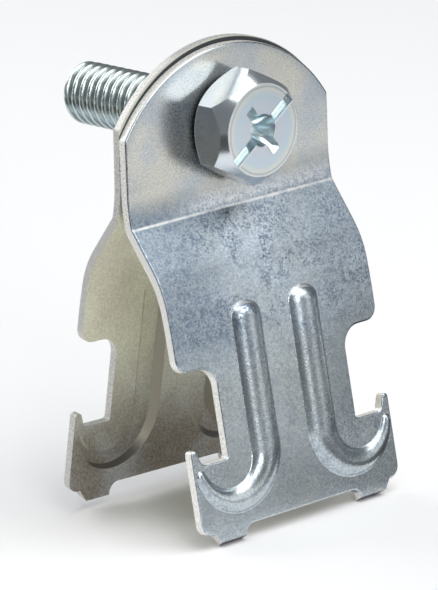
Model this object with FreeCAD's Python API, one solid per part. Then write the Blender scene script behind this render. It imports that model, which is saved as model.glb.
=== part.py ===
import FreeCAD, Part
import math
import os

V = FreeCAD.Vector

# Two-piece strut clamp: two stamped straps drawn together by one bolt. Sizes in millimetres, angles in degrees.
# World frame: X to the right, Y to the back, Z up. The origin is midway between the straps, at the height where
# the lips of a channel sit in the rear strap's pockets. Each strap is drawn in its own frame, with its bolt
# hole's centre at the origin, its mating face on y = 0 and its outer face towards -Y.

# Sheet and ear
sheet = 1.2
body_half = 16.8
ear_top = 10.6
shoulder = 1.5
shoulder_round = 0.6

# Bends from the ear down to the leg: the outer face's radius and the turn of each, and the straight slope
roll_radius = 19.4
roll_turn = 12.5
crease_radius = 0.8
crease_turn = 25.5
slope_length = 5.75
knee_radius = 12.0
knee_turn = 25.0
ease_radius = 100.0
ease_turn = 3.3
lean = roll_turn + crease_turn - knee_turn - ease_turn

# Leg outline: heights are measured up the leg from its bottom edge
leg_length = 22.0
neck_half = 10.82
notch_drop = 1.85
notch_top = leg_length - notch_drop
notch_corner = 1.8
notch_ledge = 1.58
notch_root = body_half - neck_half - notch_corner - notch_ledge
lip_seat = 8.75
lip_corner = 0.4
foot_half = 16.65
foot_corner = 1.6
prong_rise = 1.95
prong_width = 0.9
prong_slant = 0.68
prong_inner_half = foot_half - prong_width
prong_inner_round = 0.35
prong_outer_round = 0.5
pocket_width = prong_inner_half - prong_slant - neck_half
pocket_round = 0.9

# Stubs below the feet, left where the stamping was broken out of its strip: each breaks off at a slant
stub_inset = 1.95
stub_root_half = foot_half - stub_inset
stub_flare = 1.2
stub_outer_half = stub_root_half - stub_flare
stub_width = 3.8
stub_inner_half = stub_outer_half - stub_width
stub_fillet = 1.3
stub_drop = 1.65
stub_slant = 0.55

# Rolled edge that the die leaves round the outer face
edge_roll = 0.3

# Stiffening ribs: each runs from the knee down the leg, then hooks outwards under the pocket and tapers to a tip
rib_offset = 4.78
rib_reach = 3.1
rib_top = leg_length + rib_reach
rib_rise = 1.3
rib_crown = 2.8
rib_blend = 0.3
rib_flank = math.degrees(math.acos(1 - rib_rise / (rib_crown + rib_blend)))
rib_end_squash = 0.75
hook_height = 8.95
hook_inset = 0.79
hook_radius = (foot_half - hook_inset - rib_offset) / 2
hook_sweep = 164.0
hook_taper = 1.3
rib_tip_scale = 0.3
hook_sections = 6

# Groove that the punch leaves behind each rib: flat bottom, straight walls and a sharp lip
groove_depth = 1.0
groove_floor_half = 1.1
groove_corner = 0.3
groove_flank = 45.0
groove_lip = 0.2
groove_tip_scale = 0.15

# Bolt: 5/16 inch, with a hex head that has a slot and a cross recess
bolt_radius = 3.97
bolt_length = 27.0
tail_chamfer = 0.9
head_across = 12.7
head_height = 6.2
head_face_radius = 5.8
head_bevel = 55.0
base_bevel = 42.0
washer_radius = 5.6
washer_height = 0.6
slot_turn = 36.0
slot_width = 1.3
slot_half = 5.75
slot_depth = 1.0
cross_half = 3.6
cross_depth = 3.2
cross_floor = 0.9
core_half = 2.0
core_floor = 0.8

# How the straps sit on the bolt: the front one hangs in its wide hole, the rear one's threaded collar fits
front_drop = 0.73
drop_clearance = 0.06
seat_margin = 0.15
rear_twist = 1.4
thread_clearance = 0.05
collar_wall = 1.2
collar_rise = 2.5
collar_root = 0.7
collar_round = 0.35

# The ear stays flat below the hole as far as the bolt's washer face reaches
ear_flat = washer_radius - front_drop + seat_margin


def outward(angle):
    """Direction out of the outer face where the sheet leans by this angle."""
    a = math.radians(angle)
    return V(0, -math.cos(a), math.sin(a))


def downward(angle):
    """Direction down the sheet where it leans by this angle."""
    a = math.radians(angle)
    return V(0, -math.sin(a), -math.cos(a))


def line(start, end):
    return Part.LineSegment(start, end).toShape()


def arc(start, middle, end):
    return Part.Arc(start, middle, end).toShape()


class Strip:
    """Side view of the bent sheet, drawn from the top down along both faces at once."""

    def __init__(self, top):
        self.at = V(0, -sheet, top)
        self.angle = 0.0
        self.outer = []
        self.inner = []

    def inside(self):
        return self.at - outward(self.angle) * sheet

    def run(self, length):
        """Straight length of sheet."""
        start, start_inside = self.at, self.inside()
        self.at = start + downward(self.angle) * length
        self.outer.append(line(start, self.at))
        self.inner.append(line(start_inside, self.inside()))

    def bend(self, radius, turn):
        """Bend by turn degrees, outwards if positive, with this radius on the outer face."""
        side = 1 if turn > 0 else -1
        centre = self.at + outward(self.angle) * (side * radius)
        angles = [self.angle, self.angle + turn / 2, self.angle + turn]
        outer = [centre - outward(a) * (side * radius) for a in angles]
        inner = [centre - outward(a) * (side * radius + sheet) for a in angles]
        self.outer.append(arc(*outer))
        self.inner.append(arc(*inner))
        self.at = outer[-1]
        self.angle += turn

    def face(self):
        first = self.outer[0].Vertexes[0].Point
        ends = [line(first, first - outward(0) * sheet), line(self.at, self.inside())]
        return Part.Face(Part.Wire(Part.__sortEdges__(self.outer + self.inner + ends)))


def bent_strip():
    """The sheet's side view with all its bends, down to the start of the straight leg."""
    strip = Strip(ear_top)
    strip.run(ear_top + ear_flat)
    strip.bend(roll_radius, roll_turn)
    strip.bend(crease_radius, crease_turn)
    strip.run(slope_length)
    strip.bend(knee_radius, -knee_turn)
    strip.bend(ease_radius, -ease_turn)
    return strip


def leg_frame():
    """Placement of the leg: x across, y up from the bottom edge, z out of the outer face."""
    foot = bent_strip().at + downward(lean) * leg_length
    return FreeCAD.Placement(foot, FreeCAD.Rotation(V(1, 0, 0), 90 - lean))


def ear_outline():
    """Block that the upper strap is cut from: straight sides and the ear's arc."""
    reach = 4 * body_half
    left = V(-body_half, -reach, shoulder)
    right = V(body_half, -reach, shoulder)
    drop = V(0, 0, -reach)
    edges = [line(left, left + drop), line(left + drop, right + drop), line(right + drop, right),
             arc(right, V(0, -reach, ear_top), left)]
    block = Part.Face(Part.Wire(Part.__sortEdges__(edges))).extrude(V(0, 2 * reach, 0))
    corners = [e for e in block.Edges if e.Length > reach and abs(e.CenterOfMass.z - shoulder) < 1e-6]
    return block.makeFillet(shoulder_round, corners)


def upper_strap():
    """Ear, slope and knee, with a rolled edge round the outer face."""
    strip = bent_strip()
    solid = strip.face().extrude(V(2 * body_half, 0, 0))
    solid.translate(V(-body_half, 0, 0))
    solid = solid.common(ear_outline())
    sides = [Part.Wire(strip.outer).translated(V(side * body_half, 0, 0)) for side in (-1, 1)]
    rim = []
    for edge in solid.Edges:
        start, middle, end = edge.discretize(3)
        over_ear = middle.z > shoulder - shoulder_round and max(p.y for p in (start, middle, end)) < 1e-4 - sheet
        if over_ear or any(side.distToShape(Part.Vertex(middle))[0] < 1e-4 for side in sides):
            rim.append(edge)
    return solid.makeFillet(edge_roll, rim)


def rounded_wire(corners):
    """Closed wire through corners (x, y, radius), each rounded by its own radius."""
    turns = []
    for i, (x, y, radius) in enumerate(corners):
        here = V(x, y, 0)
        back = (V(*corners[i - 1][:2]) - here).normalize()
        ahead = (V(*corners[(i + 1) % len(corners)][:2]) - here).normalize()
        half = back.getAngle(ahead) / 2
        cut = radius / math.tan(half)
        middle = here + (back + ahead) * ((radius / math.sin(half) - radius) / (2 * math.cos(half)))
        turns.append((here + back * cut, middle, here + ahead * cut))
    edges = []
    for i, (start, middle, end) in enumerate(turns):
        if start.distanceToPoint(end) > 1e-6:
            edges.append(arc(start, middle, end))
        following = turns[(i + 1) % len(turns)][0]
        if end.distanceToPoint(following) > 1e-6:
            edges.append(line(end, following))
    return Part.Wire(edges)


def mirrored(corners):
    """Corners of the left half of an outline, from those of its right half."""
    return [(-x, y, radius) for x, y, radius in reversed(corners)]


def leg_half():
    """Right half of the leg's outline, from its top down to the stub, as corners with radii."""
    return [
        (body_half, leg_length, 0),
        (body_half, notch_top, notch_corner),
        (neck_half, notch_top, notch_root),
        (neck_half, lip_seat, lip_corner),
        (neck_half + pocket_width, lip_seat, pocket_round),
        (prong_inner_half, lip_seat + prong_rise, prong_inner_round),
        (foot_half, lip_seat + prong_rise, prong_outer_round),
        (foot_half, 0, foot_corner),
        (stub_root_half, 0, 0),
        (stub_outer_half, -stub_drop, 0),
        (stub_inner_half, -stub_drop, 0),
        (stub_inner_half, 0, stub_fillet),
    ]


def stub_break():
    """Waste below the stubs: its upper side is the slanting break, lower at the inner face."""
    slope = stub_slant / sheet
    start = stub_slant - stub_drop
    low = -4 * stub_drop
    ring = [V(-2 * body_half, start + slope * sheet, sheet), V(-2 * body_half, start - slope * 2 * sheet, -2 * sheet),
            V(-2 * body_half, low, -2 * sheet), V(-2 * body_half, low, sheet)]
    return Part.Face(Part.makePolygon(ring + ring[:1])).extrude(V(4 * body_half, 0, 0))


def leg_plate():
    """Flat leg with notches, pockets, prongs, feet and stubs, in the leg's frame."""
    plate = Part.Face(rounded_wire(leg_half() + mirrored(leg_half()))).extrude(V(0, 0, -sheet))
    rim = []
    for edge in plate.Edges:
        points = edge.discretize(3)
        if all(abs(p.z) < 1e-5 for p in points) and -1e-5 < points[1].y < leg_length - 1e-5:
            rim.append(edge)
    return plate.makeFillet(edge_roll, rim).cut(stub_break())


def upright(wire):
    """Turn an outline drawn in x and y up into x and z."""
    return wire.rotated(V(0, 0, 0), V(1, 0, 0), 90)


def rib_corners(rise, flat, crown, blend, base, flank):
    """Right half of a rib's section above the face at height 0, as corners with radii: base, foot and brow."""
    turn = math.tan(math.radians(flank) / 2)
    brow = flat + crown * turn
    foot = brow + rise / math.tan(math.radians(flank))
    edge = foot + blend * turn
    return [(edge, -base, 0), (edge, 0, 0), (foot, 0, blend), (brow, rise, crown)]


def rib_ring(corners):
    """Whole section of a rib, from the corners of its right half."""
    return upright(rounded_wire(corners + mirrored(corners)))


def rib_end(corners):
    """Rounded end of a rib towards +Y: the half section turned round its middle."""
    bottom, top = corners[0][1], corners[-1][1]
    half = [(0, bottom, 0)] + corners + [(0, top, 0)]
    return Part.Face(upright(rounded_wire(half))).revolve(V(0, 0, 0), V(0, 0, 1), 180)


def shortened(solid, share):
    """A solid with its length along Y brought down to this share."""
    shorten = FreeCAD.Matrix()
    shorten.scale(1, share, 1)
    return solid.transformGeometry(shorten)


def rib_shape(sizes, flank, tip_scale, level):
    """A rib on the right of the leg, standing on the height level above the outer face, in the leg's frame."""
    corners = rib_corners(*sizes, flank)
    bar = Part.Face(rib_ring(corners)).extrude(V(0, rib_top - hook_height, 0))
    bar.translate(V(rib_offset, hook_height, level))
    end = shortened(rib_end(corners), rib_end_squash)
    end.translate(V(rib_offset, rib_top, level))
    rings = []
    for i in range(hook_sections + 1):
        part = i / hook_sections
        scale = 1 - (1 - tip_scale) * part ** hook_taper
        turn = 180 + hook_sweep * part
        a = math.radians(turn)
        centre = V(rib_offset + hook_radius * (1 + math.cos(a)), hook_height + hook_radius * math.sin(a), level)
        place = FreeCAD.Placement(centre, FreeCAD.Rotation(V(0, 0, 1), turn)).toMatrix()
        corners = rib_corners(*[scale * size for size in sizes], flank)
        rings.append(rib_ring(corners).transformed(place))
    hook = Part.makeLoft(rings, True)
    tip = rib_end(corners).transformed(place)
    return bar.multiFuse([end, hook, tip])


def both_sides(solid):
    """A solid and its mirror image across the strap's middle."""
    return [solid, solid.mirror(V(0, 0, 0), V(1, 0, 0))]


def stamping():
    """One strap without its bolt hole."""
    frame = leg_frame()
    plate = leg_plate()
    plate.Placement = frame
    strap = upper_strap().fuse(plate).removeSplitter()
    rib = rib_shape((rib_rise, 0, rib_crown, rib_blend, sheet / 2), rib_flank, rib_tip_scale, 0)
    groove_sizes = (groove_depth, groove_floor_half, groove_corner, groove_lip, sheet)
    groove = rib_shape(groove_sizes, groove_flank, groove_tip_scale, -sheet)
    for solid in both_sides(rib):
        strap = strap.fuse(solid.transformed(frame.toMatrix()))
    for solid in both_sides(groove):
        strap = strap.cut(solid.transformed(frame.toMatrix()))
    return strap.removeSplitter()


def through_hole(radius):
    """Cutter for a hole through the ear and the collar."""
    reach = 2 * (sheet + collar_rise)
    return Part.makeCylinder(radius, 2 * reach, V(0, -reach, 0), V(0, 1, 0))


def front_strap():
    """Front strap: the hole is wide enough for the strap to hang down on the bolt."""
    hole = through_hole(bolt_radius + front_drop + drop_clearance)
    return stamping().cut(hole)


def collar():
    """Neck drawn out of the rear strap's sheet round the hole, which holds the thread."""
    bore = bolt_radius + thread_clearance
    wall = bore + collar_wall
    end = -(sheet + collar_rise)
    turn = math.sqrt(0.5)
    root = V(wall + collar_root, -(sheet + collar_root), 0)
    lip = V(wall - collar_round, end + collar_round, 0)
    edges = [
        line(V(bore / 2, -sheet / 2, 0), V(bore / 2, end, 0)),
        line(V(bore / 2, end, 0), V(lip.x, end, 0)),
        arc(V(lip.x, end, 0), lip + V(turn, -turn, 0) * collar_round, V(wall, lip.y, 0)),
        line(V(wall, lip.y, 0), V(wall, root.y, 0)),
        arc(V(wall, root.y, 0), root + V(-turn, turn, 0) * collar_root, V(root.x, -sheet, 0)),
        line(V(root.x, -sheet, 0), V(root.x, -sheet / 2, 0)),
        line(V(root.x, -sheet / 2, 0), V(bore / 2, -sheet / 2, 0)),
    ]
    return Part.Face(Part.Wire(edges)).revolve(V(0, 0, 0), V(0, 1, 0), 360)


def rear_strap():
    """Rear strap: its drawn collar holds the bolt's thread."""
    strap = stamping().fuse(collar())
    return strap.cut(through_hole(bolt_radius + thread_clearance)).removeSplitter()


def hex_head():
    """Hex head with bevelled ends on a washer face, its seat on y = 0 and its top towards -Y."""
    corner = head_across / math.sqrt(3)
    wide = 1.1 * corner
    low = -(washer_height + (wide - washer_radius) * math.tan(math.radians(base_bevel)))
    high = -(head_height - (wide - head_face_radius) * math.tan(math.radians(head_bevel)))
    outline = [(0, 0), (washer_radius, 0), (washer_radius, -washer_height), (wide, low), (wide, high),
               (head_face_radius, -head_height), (0, -head_height)]
    points = [V(x, y, 0) for x, y in outline]
    barrel = Part.Face(Part.makePolygon(points + points[:1])).revolve(V(0, 0, 0), V(0, 1, 0), 360)
    angles = [math.radians(30 + 60 * i) for i in range(7)]
    ring = [V(corner * math.cos(a), 0, corner * math.sin(a)) for a in angles]
    return Part.Face(Part.makePolygon(ring)).extrude(V(0, -head_height, 0)).common(barrel)


def recess():
    """Slot across the head's top with a tapered cross recess in its middle."""
    top = -head_height

    def blade(half, depth, turn):
        box = Part.makeBox(2 * half, depth, slot_width, V(-half, top, -slot_width / 2))
        box.rotate(V(0, 0, 0), V(0, 1, 0), turn)
        return box

    taper = Part.makeCone(cross_half, cross_floor, cross_depth, V(0, top, 0), V(0, 1, 0))
    core = Part.makeCone(core_half, core_floor, cross_depth, V(0, top, 0), V(0, 1, 0))
    blades = [blade(cross_half, cross_depth, turn).common(taper) for turn in (-slot_turn, 90 - slot_turn)]
    return core.multiFuse(blades + [blade(slot_half, slot_depth, -slot_turn)])


def bolt():
    """Bolt with its seat on y = 0; the shank has the thread's outer diameter."""
    shank = Part.makeCylinder(bolt_radius, bolt_length, V(0, 0, 0), V(0, 1, 0))
    tail = [e for e in shank.Edges if abs(e.CenterOfMass.y - bolt_length) < 1e-6]
    shank = shank.makeChamfer(tail_chamfer, tail)
    return hex_head().cut(recess()).fuse(shank).removeSplitter()


def build():
    """Place the pieces in the world frame and write one file for each."""
    seat = leg_frame().multVec(V(0, lip_seat, -sheet / 2))
    axis = V(0, 0, -seat.z)
    turned = FreeCAD.Rotation(V(0, 1, 0), rear_twist).multiply(FreeCAD.Rotation(V(0, 0, 1), 180))
    places = {
        "front_strap": (front_strap(), FreeCAD.Placement(axis - V(0, 0, front_drop), FreeCAD.Rotation())),
        "rear_strap": (rear_strap(), FreeCAD.Placement(axis, turned)),
        "bolt": (bolt(), FreeCAD.Placement(axis - V(0, sheet, 0), FreeCAD.Rotation())),
    }
    os.makedirs("parts", exist_ok=True)
    for name, (solid, place) in places.items():
        solid.transformed(place.toMatrix()).exportStep("parts/" + name + ".step")


build()
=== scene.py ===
import math

import bmesh
import bpy
from mathutils import Matrix, Vector


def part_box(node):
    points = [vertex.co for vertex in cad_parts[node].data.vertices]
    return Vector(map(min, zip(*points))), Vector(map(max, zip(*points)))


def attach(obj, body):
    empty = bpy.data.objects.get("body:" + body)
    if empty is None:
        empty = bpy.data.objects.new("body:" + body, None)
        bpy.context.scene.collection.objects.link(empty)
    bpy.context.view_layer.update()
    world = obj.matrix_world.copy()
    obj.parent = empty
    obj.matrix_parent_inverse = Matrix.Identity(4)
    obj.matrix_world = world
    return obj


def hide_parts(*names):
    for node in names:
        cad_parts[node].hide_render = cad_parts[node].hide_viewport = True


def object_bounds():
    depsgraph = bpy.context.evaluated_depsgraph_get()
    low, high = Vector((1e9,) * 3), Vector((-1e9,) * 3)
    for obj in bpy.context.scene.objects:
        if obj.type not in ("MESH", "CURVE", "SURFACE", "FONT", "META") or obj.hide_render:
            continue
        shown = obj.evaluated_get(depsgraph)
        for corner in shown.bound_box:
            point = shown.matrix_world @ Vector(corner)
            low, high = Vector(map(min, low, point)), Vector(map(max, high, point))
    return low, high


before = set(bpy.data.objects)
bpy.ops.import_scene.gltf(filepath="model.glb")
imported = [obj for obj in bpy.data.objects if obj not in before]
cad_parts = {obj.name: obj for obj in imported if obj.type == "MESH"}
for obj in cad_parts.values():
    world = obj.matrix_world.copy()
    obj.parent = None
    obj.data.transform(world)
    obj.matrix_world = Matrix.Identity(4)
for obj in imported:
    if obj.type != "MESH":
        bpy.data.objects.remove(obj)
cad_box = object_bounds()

# Lengths are in metres and angles in degrees. X runs along the conduit, Y along the bolt to its tail, Z up.
# Where a finish changes, a pair says where the change starts and where it ends.
MM = 0.001

# Camera: its turn to the left of the bolt's axis, its height, its roll, and the point that it looks at
CAMERA_TURN = 42.19
CAMERA_ELEVATION = 15.48
CAMERA_ROLL = -2.14
CAMERA_DISTANCE = 0.598
CAMERA_AIM = Vector((-4.65, -3.44, 17.16)) * MM
CAMERA_LENS_MM = 298.7
CAMERA_CLIP_START = 0.01
SENSOR_MM = 36.0

# Bolt: places along Y, the washer face and the bevelled underside of the head
HEAD_SEAT = -1.2 * MM
HEAD_TOP = -7.4 * MM
AXIS_HEIGHT = 37.566 * MM
NECK_LENGTH = 0.3 * MM
WASHER_RADIUS = 5.6 * MM
WASHER_HEIGHT = 0.6 * MM
UNDERSIDE_SLOPE = 0.9
UNDERSIDE_DEPTH = 2.4 * MM
UNDERSIDE_SHIFT = 0.5 * MM
TOLERANCE = 0.01 * MM
MERGE_DISTANCE = 0.0001 * MM
SHARP_ANGLE = 20

# Thread: its form, where a crest power over 1 makes the crests broader than the roots, and its mesh
THREAD_RADIUS = 3.97 * MM
THREAD_DEPTH = 0.82 * MM
THREAD_PITCH = 25.4 * MM / 18
THREAD_CREST = 1.7
TAIL_CHAMFER = 0.9 * MM
RING_STEPS = 64
PITCH_STEPS = 16

# Straps: heights, sides and distances where the finish changes
CREASE_HEIGHT = 27.4 * MM
CREASE_LINE = (0.04 * MM, 0.24 * MM)
EAR_START = (CREASE_HEIGHT, CREASE_HEIGHT + 1 * MM)
EAR_ROLL = (CREASE_HEIGHT, 31.5 * MM)
EAR_ARC_HEIGHT = 28.1 * MM
EAR_ARC_RADIUS = 20.06 * MM
RIM_TINT = (EAR_ARC_RADIUS - 2.2 * MM, EAR_ARC_RADIUS - 0.3 * MM)
# band where painted shade between the ears blackens the rim, and the lip with a painted highlight
RIM_SHADE_BAND = (EAR_ARC_RADIUS - 2.6 * MM, EAR_ARC_RADIUS - 1.4 * MM)
RIM_LIP = (EAR_ARC_RADIUS - 0.28 * MM, EAR_ARC_RADIUS - 0.1 * MM)
KNEE = (8 * MM, 16 * MM)
FOOT_TOP = (-4 * MM, 3 * MM)
# where the painted shade low on the inner face gives way to cream
LOW_SHADE_END = (-6 * MM, 12 * MM)
BREAK_TOP = (-9.3 * MM, -8.9 * MM)
LEFT_END = (-12 * MM, -3 * MM)
RIGHT_START = (0, 12 * MM)
SIDES_START = (4 * MM, 13 * MM)

# Straps: parts of a face's normal along X, Y or Z at which the finish changes
RIB_TURN = (0.1, 0.35)
INNER_TURN = (0.3, 0.6)
WALL_TURN = (0.35, 0.6)
EDGE_TURN = (0.3, 0.5)
LEDGE_TURN = (0.3, 0.5)
BREAK_TURN = (-0.75, -0.5)

# Patterns in the zinc: size of the grains, detail, roughness, and the part of the noise spread over 0 to 1
GRAIN = (0.3 * MM, 3, 0.75, 0.36, 0.64)
CLOUD = (8 * MM, 3, 0.5, 0.35, 0.65)
CLUSTER = (4.5 * MM, 5, 0.7, 0.45, 0.57)
DOTS = (0.33 * MM, 4, 0.8, 0.49, 0.59)
BLOTS = (0.9 * MM, 6, 0.85, 0.5, 0.6)
PATCH = (2.5 * MM, 4, 0.6, 0.38, 0.62)
BOLT_CLOUD = (3 * MM, 2, 0.5, 0.3, 0.7)
FINE_NOISE = (0.2 * MM, 2, 0.5)

# Straps: colours; a pair goes from the dark of a pattern to its light
COOL_ZINC = ((0.43, 0.51, 0.59), (0.76, 0.84, 0.90))
WARM_ZINC = ((0.49, 0.54, 0.55), (0.64, 0.68, 0.67))
DARK_PATCH = (0.30, 0.36, 0.42)
SPECK = (0.15, 0.20, 0.29)
# painted shade: colours that darken the left of the slope and the right of the leg and knee
PAINTED_LEFT_SHADE = (0.22, 0.28, 0.35)
PAINTED_RIGHT_SHADE = (0.26, 0.30, 0.33)
EAR_ZINC = ((0.57, 0.62, 0.67), (0.74, 0.73, 0.67))
RIM_BLUE = (0.36, 0.44, 0.53)
# roll at the ear's foot: painted shade at its left, and a painted highlight on the rest
PAINTED_ROLL_SHADE = ((0.20, 0.26, 0.32), (0.36, 0.42, 0.48))
PAINTED_ROLL_HIGHLIGHT = (0.86, 0.91, 0.96)
ROLL_SPECK = (0.20, 0.25, 0.33)
# painted highlight along the crease
PAINTED_CREASE_HIGHLIGHT = (0.95, 0.95, 0.94)
# painted shade: brown and grey for the lower part of the inner face
LOW_SHADE_BROWN = ((0.19, 0.165, 0.14), (0.34, 0.31, 0.25))
LOW_SHADE_GREY = ((0.33, 0.34, 0.35), (0.52, 0.52, 0.51))
WARM_CREAM = ((0.70, 0.68, 0.56), (0.88, 0.85, 0.70))
GREEN_CREAM = ((0.80, 0.80, 0.64), (0.97, 0.97, 0.80))
# painted shade on the groove walls and on the ledges of the inner face that face up
PAINTED_GROOVE_SHADE = (0.42, 0.39, 0.32)
PAINTED_LEDGE_SHADE = (0.12, 0.11, 0.10)
# inner face of the ear: mid grey, black painted shade at the rim between the ears, pale painted highlight
# on the lip
MATING_GREY = ((0.36, 0.37, 0.36), (0.46, 0.46, 0.42))
RIM_SHADE_BLACK = (0.04, 0.045, 0.05)
PAINTED_LIP_HIGHLIGHT = (0.62, 0.63, 0.57)
# cut edges: painted light, lighter on the front strap and darker on the rear, lit and shaded copies of one
# zinc
LIT_FRONT_EDGE = ((0.86, 0.847, 0.808), (1.0, 0.985, 0.94))
SHADED_REAR_EDGE = ((0.55, 0.542, 0.517), (0.64, 0.63, 0.602))
BROKEN_STEEL = ((0.16, 0.15, 0.18), (0.36, 0.33, 0.38))

# Straps: shares of a finish; a pair goes with a pattern, a side or the slope
LEG_WARMTH = (0.6, 1.0)
SLOPE_WARMTH = (0.0, 0.6)
PATCH_SHARE = (0.16, 0.0)
# shares of the painted shade at the left and at the right
PAINTED_LEFT_SHADE_SHARE = 0.5
PAINTED_RIGHT_SHADE_SHARE = (0.65, 0.32)
RIB_SPECKS = 0.5
LOOSE_SPECKS = (0.05, 0.25)
DENSE_SPECKS = (0.3, 0.6)
SLOPE_SPECKS = (0.2, 0.8)
ROLL_SPECKS = 0.7
RIM_TINT_SHARE = 0.55
# shares of the painted shade and the painted highlight on the roll
PAINTED_ROLL_SHADE_SHARE = (0.15, 1.0)
PAINTED_ROLL_HIGHLIGHT_SHARE = 0.6
CREASE_SHARE = (0.55, 1.0)
# share of the painted shade at the ear's rim: none on the front strap, full on the rear
FRONT_RIM_SHADE = 0.0
REAR_RIM_SHADE = 1.0

# Straps: roughness, share of bare metal, relief and the rounding of sharp edges
EAR_ROUGHNESS = (0.24, 0.32)
OUTER_ROUGHNESS = (0.24, 0.3)
SPECK_ROUGHNESS = 0.4
INNER_ROUGHNESS = 0.5
BROKEN_ROUGHNESS = 0.55
EDGE_METAL = 0.25
INNER_METAL = 0.5
RELIEF_SHARE = (0.08, 1.0)
STRAP_RELIEF = 0.014 * MM
STRAP_ROUNDING = 0.05 * MM

# Bolt: places where the finish changes
TOP_TURN = (-0.98, -0.9)
RECESS_START = (HEAD_TOP + 0.05 * MM, HEAD_TOP + 0.4 * MM)
RECESS_RIM = (5.2 * MM, 5.7 * MM)
RECESS_END = (HEAD_SEAT - 0.3 * MM, HEAD_SEAT)
NECK = (HEAD_SEAT, HEAD_SEAT + NECK_LENGTH)
GAP_TOP = HEAD_SEAT - WASHER_HEIGHT + UNDERSIDE_SHIFT
GAP_START = (GAP_TOP - 0.12 * MM, GAP_TOP - 0.04 * MM)
GAP_INNER = (WASHER_RADIUS - 0.3 * MM, WASHER_RADIUS - 0.1 * MM)
GAP_OUTER = (5.7 * MM, 6.3 * MM)
# sharp edges that get a painted highlight, and where it stops short of the seat
SHARP_EDGE_TURN = (0.9, 0.995)
EDGE_HIGHLIGHT_END = (HEAD_SEAT - 1.5 * MM, HEAD_SEAT - 1 * MM)

# Bolt: colours and finish; the rings on the head's top each have their start, their end and their colour
PLAIN_BOLT = ((0.67, 0.73, 0.77), (0.75, 0.79, 0.82))
THREAD_ZINC = (0.55, 0.61, 0.60)
HEAD_MIDDLE = (0.60, 0.64, 0.70)
HEAD_RINGS = (
    (2.5 * MM, 4.2 * MM, (0.56, 0.66, 0.74)),
    (4.3 * MM, 5.1 * MM, (0.68, 0.71, 0.68)),
    (5.2 * MM, 5.4 * MM, (0.46, 0.50, 0.52)),
    (5.4 * MM, 5.6 * MM, (0.70, 0.73, 0.74)),
)
RECESS_GREEN = (0.72, 0.82, 0.85)
# painted highlight on the bolt's sharp edges
PAINTED_EDGE_HIGHLIGHT = (0.93, 0.94, 0.95)
EDGE_HIGHLIGHT_SHARE = 0.7
# painted shade under the head: black near the washer, grey further out
PAINTED_GAP_SHADE = ((0.02, 0.02, 0.02), (0.34, 0.37, 0.40))
BOLT_ROUGHNESS = (0.15, 0.26)
BOLT_RELIEF = 0.008 * MM
BOLT_ROUNDING = 0.16 * MM

# Lamps: turn to the left of +Y, elevation, distance, width, height and brightness
LAMPS = {
    "back_softbox": (12, 35, 0.7, 0.72, 0.3, 2.9),
    "back_strip": (43, 9, 0.8, 0.1, 0.17, 3.4),
    "key_softbox": (156, 24, 0.75, 0.24, 0.6, 3.4),
    "front_softbox": (214, 24, 0.42, 0.2, 0.38, 0.95),
    "top_softbox": (200, 70, 0.8, 0.8, 0.8, 2.5),
}

# Dark cards flat on the floor: turn to the left of +Y, near end, far end, width and grey tone
CARDS = {
    "front_card": (180 - CAMERA_TURN, 0.09, 0.6, 0.34, 0.08),
    "left_card": (100, 0.06, 0.7, 0.4, 0.06),
    "right_card": (256, 0.2, 0.9, 0.5, 0.08),
    "foot_card": (230, 0.025, 0.13, 0.1, 0.08),
}
CARD_LIFT = 0.5 * MM

# Floor and walls
FLOOR_RADIUS = 3.0
FLOOR_SEGMENTS = 96
FLOOR_COLOUR = (0.95, 0.95, 0.95, 1)
WALL_COLOUR = (0.2, 0.21, 0.22, 1)


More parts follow.
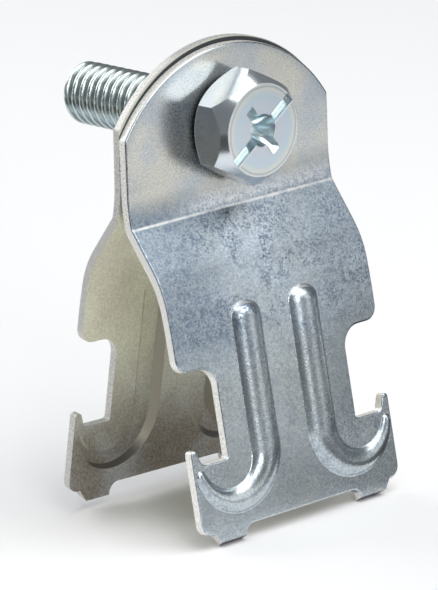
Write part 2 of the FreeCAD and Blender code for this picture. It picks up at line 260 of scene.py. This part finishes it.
class Surface:
    """A metal material: its shader, and the nodes that paint it by place and direction on the piece."""

    def __init__(self, name):
        self.material = bpy.data.materials.new(name)
        self.material.use_nodes = True
        self.tree = self.material.node_tree
        self.shader = self.tree.nodes["Principled BSDF"]
        place = self.tree.nodes.new("ShaderNodeTexCoord")
        self.position = place.outputs["Object"]
        self.x, self.y, self.z = self.split(self.position)
        self.facing_x, self.facing_y, self.facing_z = self.split(place.outputs["Normal"])

    def feed(self, socket, value):
        """Link another node's output to a socket, or set the socket to a plain value."""
        if isinstance(value, bpy.types.NodeSocket):
            self.tree.links.new(value, socket)
        else:
            socket.default_value = value

    def split(self, vector):
        parts = self.tree.nodes.new("ShaderNodeSeparateXYZ")
        self.feed(parts.inputs[0], vector)
        return parts.outputs

    def math(self, operation, first, second=0.0):
        made = self.tree.nodes.new("ShaderNodeMath")
        made.operation = operation
        self.feed(made.inputs[0], first)
        self.feed(made.inputs[1], second)
        return made.outputs[0]

    def product(self, first, *others):
        for other in others:
            first = self.math("MULTIPLY", first, other)
        return first

    def distance(self, across, up):
        """Distance from an axis, from the two offsets."""
        return self.math("SQRT", self.math("ADD", self.product(across, across), self.product(up, up)))

    def step(self, value, low, high, start=0.0, end=1.0):
        """Smooth change from start to end while value goes from low to high."""
        made = self.tree.nodes.new("ShaderNodeMapRange")
        made.interpolation_type = "SMOOTHSTEP"
        for socket, number in zip(made.inputs, (value, low, high, start, end)):
            self.feed(socket, number)
        return made.outputs[0]

    def noise(self, size, detail, roughness):
        """Noise with grains of about this size."""
        made = self.tree.nodes.new("ShaderNodeTexNoise")
        made.inputs["Scale"].default_value = 1 / size
        made.inputs["Detail"].default_value = detail
        made.inputs["Roughness"].default_value = roughness
        self.feed(made.inputs["Vector"], self.position)
        return made.outputs[0]

    def pattern(self, size, detail, roughness, low, high):
        """Noise with the part from low to high spread over 0 to 1."""
        return self.step(self.noise(size, detail, roughness), low, high)

    def mix(self, share, first, second):
        """Colour that goes from first to second as share goes from 0 to 1."""
        made = self.tree.nodes.new("ShaderNodeMix")
        made.data_type = "RGBA"
        self.feed(made.inputs[0], share)
        for socket, value in ((made.inputs[6], first), (made.inputs[7], second)):
            self.feed(socket, (*value, 1) if isinstance(value, tuple) else value)
        return made.outputs[2]

    def blend(self, share, first, second):
        """Number that goes from first to second as share goes from 0 to 1."""
        made = self.tree.nodes.new("ShaderNodeMix")
        self.feed(made.inputs[0], share)
        self.feed(made.inputs[2], first)
        self.feed(made.inputs[3], second)
        return made.outputs[0]

    def rounded(self, radius):
        """Normal rounded off at sharp edges."""
        made = self.tree.nodes.new("ShaderNodeBevel")
        made.inputs["Radius"].default_value = radius
        return made.outputs[0]

    def sharp_edge_share(self, rounded_normal):
        """1 at sharp edges, where the rounded normal leaves the face's own, and 0 elsewhere."""
        compared = self.tree.nodes.new("ShaderNodeVectorMath")
        compared.operation = "DOT_PRODUCT"
        self.feed(compared.inputs[0], rounded_normal)
        self.feed(compared.inputs[1], self.tree.nodes.new("ShaderNodeNewGeometry").outputs["Normal"])
        return self.step(compared.outputs["Value"], *SHARP_EDGE_TURN, 1, 0)

    def finish(self, colour, metal, roughness, height, depth, normal):
        """Connect the shader: colour, share of metal, roughness, relief of this depth over the normal."""
        bump = self.tree.nodes.new("ShaderNodeBump")
        bump.inputs["Strength"].default_value = 1.0
        bump.inputs["Distance"].default_value = depth
        self.feed(bump.inputs["Height"], height)
        self.feed(bump.inputs["Normal"], normal)
        self.feed(self.shader.inputs["Metallic"], metal)
        self.feed(self.shader.inputs["Normal"], bump.outputs[0])
        self.feed(self.shader.inputs["Base Color"], colour)
        self.feed(self.shader.inputs["Roughness"], roughness)
        return self.material


class StrapZinc(Surface):
    """Satin zinc on a stamped strap, with the patterns and the places that its colours depend on."""

    def __init__(self, name, inside):
        """inside is the side of Y, 1 or -1, that the strap's inner face looks to."""
        super().__init__(name)
        self.grain = self.pattern(*GRAIN)
        self.cloud = self.pattern(*CLOUD)
        self.cluster = self.pattern(*CLUSTER)
        self.patch = self.pattern(*PATCH)
        self.specks = self.math("MAXIMUM", self.pattern(*DOTS), self.pattern(*BLOTS))
        self.left = self.step(self.x, *LEFT_END, 1, 0)
        self.right = self.step(self.x, *RIGHT_START)
        self.slope = self.step(self.z, *KNEE)
        self.below_ear = self.step(self.z, *EAR_START, 1, 0)
        self.rolled = self.step(self.z, *EAR_ROLL, 1, 0)
        self.reach = self.distance(self.x, self.math("SUBTRACT", self.z, EAR_ARC_HEIGHT))
        self.sideways = self.math("ABSOLUTE", self.facing_x)
        self.inner = self.step(self.product(self.facing_y, inside), *INNER_TURN)
        self.mating = self.product(self.inner, self.math("SUBTRACT", 1.0, self.rolled))
        self.cut_edge = self.step(self.math("ABSOLUTE", self.facing_y), *EDGE_TURN, 1, 0)
        lowest = self.step(self.z, *BREAK_TOP, 1, 0)
        self.broken = self.product(lowest, self.step(self.facing_z, *BREAK_TURN, 1, 0))
        self.speckle = self.spread_specks()

    def spread_specks(self):
        """Outer face's specks: few on the leg, more on its ribs and right, most at the slope's sides."""
        rib = self.step(self.sideways, *RIB_TURN, 0, RIB_SPECKS)
        loose = self.blend(self.right, *LOOSE_SPECKS)
        dense = self.blend(self.right, *DENSE_SPECKS)
        few = self.math("MAXIMUM", rib, self.blend(self.cluster, loose, dense))
        sides = self.step(self.math("ABSOLUTE", self.x), *SIDES_START)
        many = self.blend(self.cluster, self.blend(sides, *SLOPE_SPECKS), 1.0)
        return self.product(self.specks, self.blend(self.slope, few, many))

    def outer_face(self):
        """Bluish slope and warmer leg, with specks, dark patches, and painted shade at the left of the
        slope and the right above the foot.
        """
        leg_warmth = self.blend(self.cloud, *LEG_WARMTH)
        slope_warmth = self.blend(self.cloud, *SLOPE_WARMTH)
        warmth = self.blend(self.slope, leg_warmth, slope_warmth)
        colour = self.mix(warmth, self.mix(self.grain, *COOL_ZINC), self.mix(self.grain, *WARM_ZINC))
        colour = self.mix(self.blend(self.patch, *PATCH_SHARE), colour, DARK_PATCH)
        colour = self.mix(self.speckle, colour, SPECK)
        # painted shade at the left of the slope, and at the right above the foot
        colour = self.mix(self.product(self.left, self.slope, PAINTED_LEFT_SHADE_SHARE), colour, PAINTED_LEFT_SHADE)
        above_foot = self.step(self.z, *FOOT_TOP)
        shade = self.product(self.right, above_foot, self.blend(self.slope, *PAINTED_RIGHT_SHADE_SHARE))
        return self.mix(shade, colour, PAINTED_RIGHT_SHADE)

    def ear_face(self):
        """Smooth ear, bluish at its rim; on the roll at its foot, painted shade at the left and a painted
        highlight elsewhere.
        """
        colour = self.mix(self.cloud, *EAR_ZINC)
        colour = self.mix(self.step(self.reach, *RIM_TINT, 0, RIM_TINT_SHARE), colour, RIM_BLUE)
        # painted shade on the roll at the left, and a painted highlight on the rest of the roll
        dark = self.product(self.rolled, self.blend(self.left, *PAINTED_ROLL_SHADE_SHARE))
        colour = self.mix(dark, colour, self.mix(self.grain, *PAINTED_ROLL_SHADE))
        roll_highlight = self.product(self.rolled, self.math("SUBTRACT", 1.0, self.left), PAINTED_ROLL_HIGHLIGHT_SHARE)
        colour = self.mix(roll_highlight, colour, PAINTED_ROLL_HIGHLIGHT)
        return self.mix(self.product(self.specks, self.rolled, ROLL_SPECKS), colour, ROLL_SPECK)

    def crease_line(self):
        """Painted highlight along the crease, uneven by patches."""
        off_crease = self.math("ABSOLUTE", self.math("SUBTRACT", self.z, CREASE_HEIGHT))
        line = self.step(off_crease, *CREASE_LINE, 1, 0)
        return self.product(line, self.blend(self.patch, *CREASE_SHARE))

    def lining(self):
        """Inner face: cream above and darker and browner low down, a painted shade; painted shade too on
        the groove walls and on the ledges that face up.
        """
        # painted shade low down, in brown and grey
        shaded_low = self.mix(self.cloud, self.mix(self.grain, *LOW_SHADE_BROWN), self.mix(self.grain, *LOW_SHADE_GREY))
        clean = self.mix(self.cloud, self.mix(self.grain, *WARM_CREAM), self.mix(self.grain, *GREEN_CREAM))
        colour = self.mix(self.step(self.z, *LOW_SHADE_END), shaded_low, clean)
        # painted shade on the groove walls and the ledges that face up
        wall = self.product(self.inner, self.step(self.sideways, *WALL_TURN))
        colour = self.mix(wall, colour, PAINTED_GROOVE_SHADE)
        return self.mix(self.step(self.facing_z, *LEDGE_TURN), colour, PAINTED_LEDGE_SHADE)

    def mating_face(self, painted_rim_shade):
        """Inner face of the ear: mid grey, with painted shade that goes black towards its rim by the share
        painted_rim_shade, and a painted highlight on its lip.
        """
        # painted shade black towards the rim, then a painted highlight on the lip
        rim_shade = self.step(self.reach, *RIM_SHADE_BAND, 0, painted_rim_shade)
        colour = self.mix(rim_shade, self.mix(self.cloud, *MATING_GREY), RIM_SHADE_BLACK)
        return self.mix(self.step(self.reach, *RIM_LIP), colour, PAINTED_LIP_HIGHLIGHT)

    def roughness(self):
        outer = self.blend(self.speckle, self.blend(self.slope, *OUTER_ROUGHNESS), SPECK_ROUGHNESS)
        value = self.blend(self.below_ear, self.blend(self.grain, *EAR_ROUGHNESS), outer)
        value = self.blend(self.inner, value, INNER_ROUGHNESS)
        return self.blend(self.broken, value, BROKEN_ROUGHNESS)


def zinc_strap(name, inside, edge_colours, painted_rim_shade):
    """Material of a strap whose inner face looks to the side inside of Y, 1 or -1."""
    s = StrapZinc(name, inside)
    colour = s.mix(s.below_ear, s.ear_face(), s.outer_face())
    # painted highlight along the crease
    colour = s.mix(s.crease_line(), colour, PAINTED_CREASE_HIGHLIGHT)
    colour = s.mix(s.inner, colour, s.lining())
    colour = s.mix(s.mating, colour, s.mating_face(painted_rim_shade))
    # cut edges in the strap's edge colours, which carry painted light: lighter on the front strap, darker
    # on the rear
    colour = s.mix(s.cut_edge, colour, s.mix(s.grain, *edge_colours))
    colour = s.mix(s.broken, colour, s.mix(s.grain, *BROKEN_STEEL))
    metal = s.blend(s.inner, s.blend(s.cut_edge, 1.0, EDGE_METAL), INNER_METAL)
    relief = s.product(s.noise(*FINE_NOISE), s.blend(s.below_ear, *RELIEF_SHARE))
    return s.finish(colour, metal, s.roughness(), relief, STRAP_RELIEF, s.rounded(STRAP_ROUNDING))


def recess_share(s, radius):
    """1 in the slot and the cross recess, from just under the head's top down to the seat."""
    sunk = s.step(s.y, *RECESS_START)
    within = s.step(radius, *RECESS_RIM, 1, 0)
    return s.product(sunk, within, s.step(s.y, *RECESS_END, 1, 0))


def gap_share(s, radius):
    """1 on the washer face and the bevelled underside of the head, which take painted shade."""
    outward = s.math("SUBTRACT", radius, WASHER_RADIUS)
    back = s.math("ADD", s.y, s.product(outward, UNDERSIDE_SLOPE))
    return s.product(s.step(back, *GAP_START), s.step(radius, *GAP_INNER))


def zinc_bolt(name):
    """Bright zinc: faint rings on the head's top, bluish green recess, painted highlights on the sharp
    edges and painted shade on the underside.
    """
    s = Surface(name)
    grain = s.noise(*FINE_NOISE)
    radius = s.distance(s.x, s.math("SUBTRACT", s.z, AXIS_HEIGHT))
    plain = s.mix(s.pattern(*BOLT_CLOUD), *PLAIN_BOLT)
    plain = s.mix(s.step(s.y, *NECK), plain, THREAD_ZINC)
    top = HEAD_MIDDLE
    for start, end, ring in HEAD_RINGS:
        top = s.mix(s.step(radius, start, end), top, ring)
    colour = s.mix(s.step(s.facing_y, *TOP_TURN, 1, 0), plain, top)
    colour = s.mix(recess_share(s, radius), colour, RECESS_GREEN)
    normal = s.rounded(BOLT_ROUNDING)
    # painted highlight along the sharp edges, away from the seat
    edge_highlight = s.product(s.sharp_edge_share(normal), s.step(s.y, *EDGE_HIGHLIGHT_END, EDGE_HIGHLIGHT_SHARE, 0))
    colour = s.mix(edge_highlight, colour, PAINTED_EDGE_HIGHLIGHT)
    # painted shade on the underside, matte and not metal
    gap = gap_share(s, radius)
    colour = s.mix(gap, colour, s.mix(s.step(radius, *GAP_OUTER), *PAINTED_GAP_SHADE))
    roughness = s.blend(gap, s.blend(grain, *BOLT_ROUGHNESS), 1.0)
    return s.finish(colour, s.blend(gap, 1.0, 0.0), roughness, grain, BOLT_RELIEF, normal)


def thread_radius(turn, y):
    """Radius of the right-hand thread at this angle round the axis and this place along it."""
    part = (y / THREAD_PITCH + turn / (2 * math.pi)) % 1
    return THREAD_RADIUS - THREAD_DEPTH * (0.5 - 0.5 * math.cos(2 * math.pi * part)) ** THREAD_CREST


def add_thread(mesh, tail):
    """Closed threaded rod from the neck under the head to the chamfered tail."""
    start = HEAD_SEAT + NECK_LENGTH / 2
    count = round((tail - start) / THREAD_PITCH * PITCH_STEPS)
    rings = []
    for row in range(count + 1):
        y = start + (tail - start) * row / count
        limit = THREAD_RADIUS - max(0.0, TAIL_CHAMFER - (tail - y))
        ring = []
        for step in range(RING_STEPS):
            turn = 2 * math.pi * step / RING_STEPS
            radius = min(thread_radius(turn, y), limit)
            place = (radius * math.cos(turn), y, AXIS_HEIGHT + radius * math.sin(turn))
            ring.append(mesh.verts.new(place))
        rings.append(ring)
    for near, far in zip(rings, rings[1:]):
        for i in range(RING_STEPS):
            j = (i + 1) % RING_STEPS
            mesh.faces.new((near[i], far[i], far[j], near[j]))
    mesh.faces.new(rings[0])
    mesh.faces.new(rings[-1][::-1])


def lower_underside(mesh):
    """Bring the bevelled underside of the head closer to the ear."""
    for vert in mesh.verts:
        radius = math.hypot(vert.co.x, vert.co.z - AXIS_HEIGHT)
        above = HEAD_SEAT - vert.co.y
        if radius > WASHER_RADIUS - TOLERANCE and UNDERSIDE_SHIFT < above < UNDERSIDE_DEPTH:
            vert.co.y += UNDERSIDE_SHIFT


def bolt_mesh():
    """Mesh of the frame's own head, with a threaded rod in place of the plain shank."""
    mesh = bmesh.new()
    mesh.from_mesh(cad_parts["bolt"].data)
    bmesh.ops.remove_doubles(mesh, verts=mesh.verts, dist=MERGE_DISTANCE)
    everything = mesh.verts[:] + mesh.edges[:] + mesh.faces[:]
    neck = (0, HEAD_SEAT + NECK_LENGTH, 0)
    cut = bmesh.ops.bisect_plane(mesh, geom=everything, plane_co=neck, plane_no=(0, 1, 0), clear_outer=True)
    lower_underside(mesh)
    open_edges = [part for part in cut["geom_cut"] if isinstance(part, bmesh.types.BMEdge)]
    bmesh.ops.contextual_create(mesh, geom=open_edges)
    add_thread(mesh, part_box("bolt")[1].y)
    bmesh.ops.recalc_face_normals(mesh, faces=mesh.faces)
    data = bpy.data.meshes.new("threaded_bolt")
    mesh.to_mesh(data)
    mesh.free()
    data.attributes.remove(data.attributes["custom_normal"])
    data.polygons.foreach_set("use_smooth", [True] * len(data.polygons))
    data.set_sharp_from_angle(angle=math.radians(SHARP_ANGLE))
    return data


def make_bolt():
    """The bolt with its real thread, which replaces the frame's plain one."""
    data = bolt_mesh()
    bolt = bpy.data.objects.new("threaded_bolt", data)
    bpy.context.scene.collection.objects.link(bolt)
    data.materials.append(zinc_bolt("bright_zinc"))
    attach(bolt, "bolt")
    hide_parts("bolt")


def dress(name, material):
    """Give a carried-over piece of the frame its finish."""
    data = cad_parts[name].data
    data.materials.clear()
    data.materials.append(material)


def make_floor():
    """Pale round floor at the height where the clamp stands."""
    mesh = bmesh.new()
    bmesh.ops.create_circle(mesh, cap_ends=True, segments=FLOOR_SEGMENTS, radius=FLOOR_RADIUS)
    data = bpy.data.meshes.new("floor")
    mesh.to_mesh(data)
    mesh.free()
    floor = bpy.data.objects.new("floor", data)
    floor.location.z = cad_box[0].z
    bpy.context.scene.collection.objects.link(floor)
    paper = bpy.data.materials.new("white_paper")
    paper.use_nodes = True
    shader = paper.node_tree.nodes["Principled BSDF"]
    shader.inputs["Base Color"].default_value = FLOOR_COLOUR
    shader.inputs["Roughness"].default_value = 1.0
    shader.inputs["Specular IOR Level"].default_value = 0.0
    data.materials.append(paper)


def direction(turn, elevation):
    """Unit vector at this turn to the left of straight ahead along Y, and this height."""
    t = math.radians(turn)
    e = math.radians(elevation)
    return Vector((-math.sin(t) * math.cos(e), math.cos(t) * math.cos(e), math.sin(e)))


def softbox(name, turn, elevation, distance, width, height, brightness):
    """Rectangular lamp that faces the clamp; brightness is what a mirror would show of it."""
    lamp = bpy.data.lights.new(name, "AREA")
    lamp.shape = "RECTANGLE"
    lamp.size = width
    lamp.size_y = height
    lamp.energy = brightness * math.pi * width * height
    holder = bpy.data.objects.new(name, lamp)
    towards = direction(turn, elevation)
    holder.location = CAMERA_AIM + towards * distance
    holder.rotation_euler = towards.to_track_quat("Z", "Y").to_euler()
    holder.visible_camera = False
    bpy.context.scene.collection.objects.link(holder)


def black_card(name, turn, near, far, width, tone):
    """Dark card flat on the floor out of the picture: it shows only as a dark reflection in the metal."""
    mesh = bmesh.new()
    corners = [(-width / 2, near), (width / 2, near), (width / 2, far), (-width / 2, far)]
    mesh.faces.new([mesh.verts.new((x, y, 0)) for x, y in corners])
    data = bpy.data.meshes.new(name)
    mesh.to_mesh(data)
    mesh.free()
    card = bpy.data.objects.new(name, data)
    card.location.z = cad_box[0].z + CARD_LIFT
    card.rotation_euler.z = math.radians(turn)
    card.visible_camera = False
    card.visible_diffuse = False
    card.visible_shadow = False
    bpy.context.scene.collection.objects.link(card)
    paint = bpy.data.materials.new(name)
    paint.use_nodes = True
    paint.node_tree.nodes["Principled BSDF"].inputs["Base Color"].default_value = (tone, tone, tone, 1)
    data.materials.append(paint)


def make_world():
    """Dim studio walls."""
    world = bpy.data.worlds.new("studio")
    bpy.context.scene.world = world
    world.use_nodes = True
    world.node_tree.nodes["Background"].inputs["Color"].default_value = WALL_COLOUR


def make_lights():
    for name, values in LAMPS.items():
        softbox(name, *values)
    for name, values in CARDS.items():
        black_card(name, *values)


def make_camera():
    lens = bpy.data.cameras.new("camera")
    lens.lens = CAMERA_LENS_MM
    lens.sensor_width = SENSOR_MM
    lens.clip_start = CAMERA_CLIP_START
    camera = bpy.data.objects.new("camera", lens)
    back = direction(180 - CAMERA_TURN, CAMERA_ELEVATION)
    camera.location = CAMERA_AIM + back * CAMERA_DISTANCE
    turn = back.to_track_quat("Z", "Y").to_matrix().to_4x4()
    camera.rotation_euler = (turn @ Matrix.Rotation(math.radians(CAMERA_ROLL), 4, "Z")).to_euler()
    bpy.context.scene.collection.objects.link(camera)
    bpy.context.scene.camera = camera


bpy.context.scene.view_settings.view_transform = "Standard"
dress("front_strap", zinc_strap("satin_zinc_front", 1, LIT_FRONT_EDGE, FRONT_RIM_SHADE))
dress("rear_strap", zinc_strap("satin_zinc_rear", -1, SHADED_REAR_EDGE, REAR_RIM_SHADE))
make_bolt()
make_floor()
make_world()
make_lights()
make_camera()
